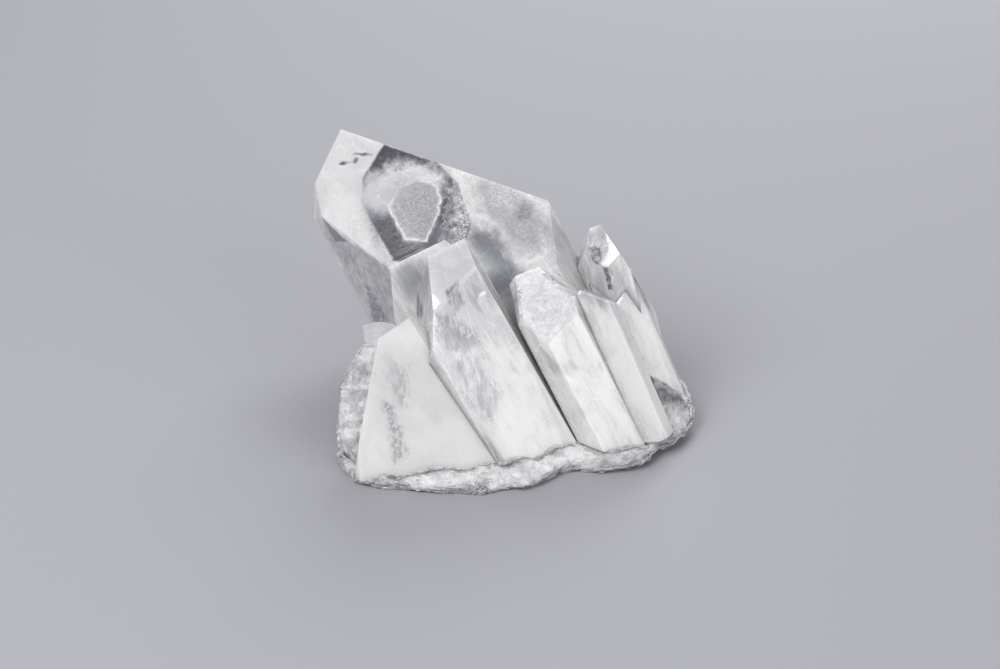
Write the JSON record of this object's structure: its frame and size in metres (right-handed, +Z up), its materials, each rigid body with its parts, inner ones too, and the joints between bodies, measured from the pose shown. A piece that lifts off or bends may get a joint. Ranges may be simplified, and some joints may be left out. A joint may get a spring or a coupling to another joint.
{
  "type": "quartz crystal cluster",
  "caption": "Cluster of clear to milky quartz crystals leaning out of a rough white quartz matrix, with a flat underside to rest on",
  "frame": {"origin": "middle of the bounding box's base, on the plane the cluster rests on", "axes": "+X to the cluster's right, seen from its front; +Y to its back; +Z up. The large crystal leans to -X and +Y."},
  "size_m": [0.0692, 0.0634, 0.04],
  "materials": {
    "left_crystal": "milky quartz with satin growth faces and frosted breaks",
    "front_crystal": "clear to milky rock crystal with smooth, lustrous growth faces",
    "shoulder_crystal": "milky quartz with satin growth faces and frosted breaks",
    "broken_crystal": "milky quartz with satin growth faces and frosted breaks",
    "right_front_crystal": "milky quartz with satin growth faces and frosted breaks",
    "right_crystal": "clear to milky rock crystal with smooth, lustrous growth faces",
    "side_crystal": "clear to milky rock crystal with smooth, lustrous growth faces",
    "left_broken_crystal": "milky quartz with satin growth faces and frosted breaks",
    "knob_crystal": "milky quartz with satin growth faces and frosted breaks",
    "main_crystal": "clear to milky rock crystal with smooth, lustrous growth faces",
    "quartz_matrix": "granular white quartz crust, matt and sugary"
  },
  "bodies": {
    "root": {"left_crystal": "left_crystal", "front_crystal": "front_crystal", "shoulder_crystal": "shoulder_crystal", "broken_crystal": "broken_crystal", "right_front_crystal": "right_front_crystal", "right_crystal": "right_crystal", "side_crystal": "side_crystal", "left_broken_crystal": "left_broken_crystal", "knob_crystal": "knob_crystal", "main_crystal": "main_crystal", "quartz_matrix": "quartz_matrix"}
  },
  "joints": []
}
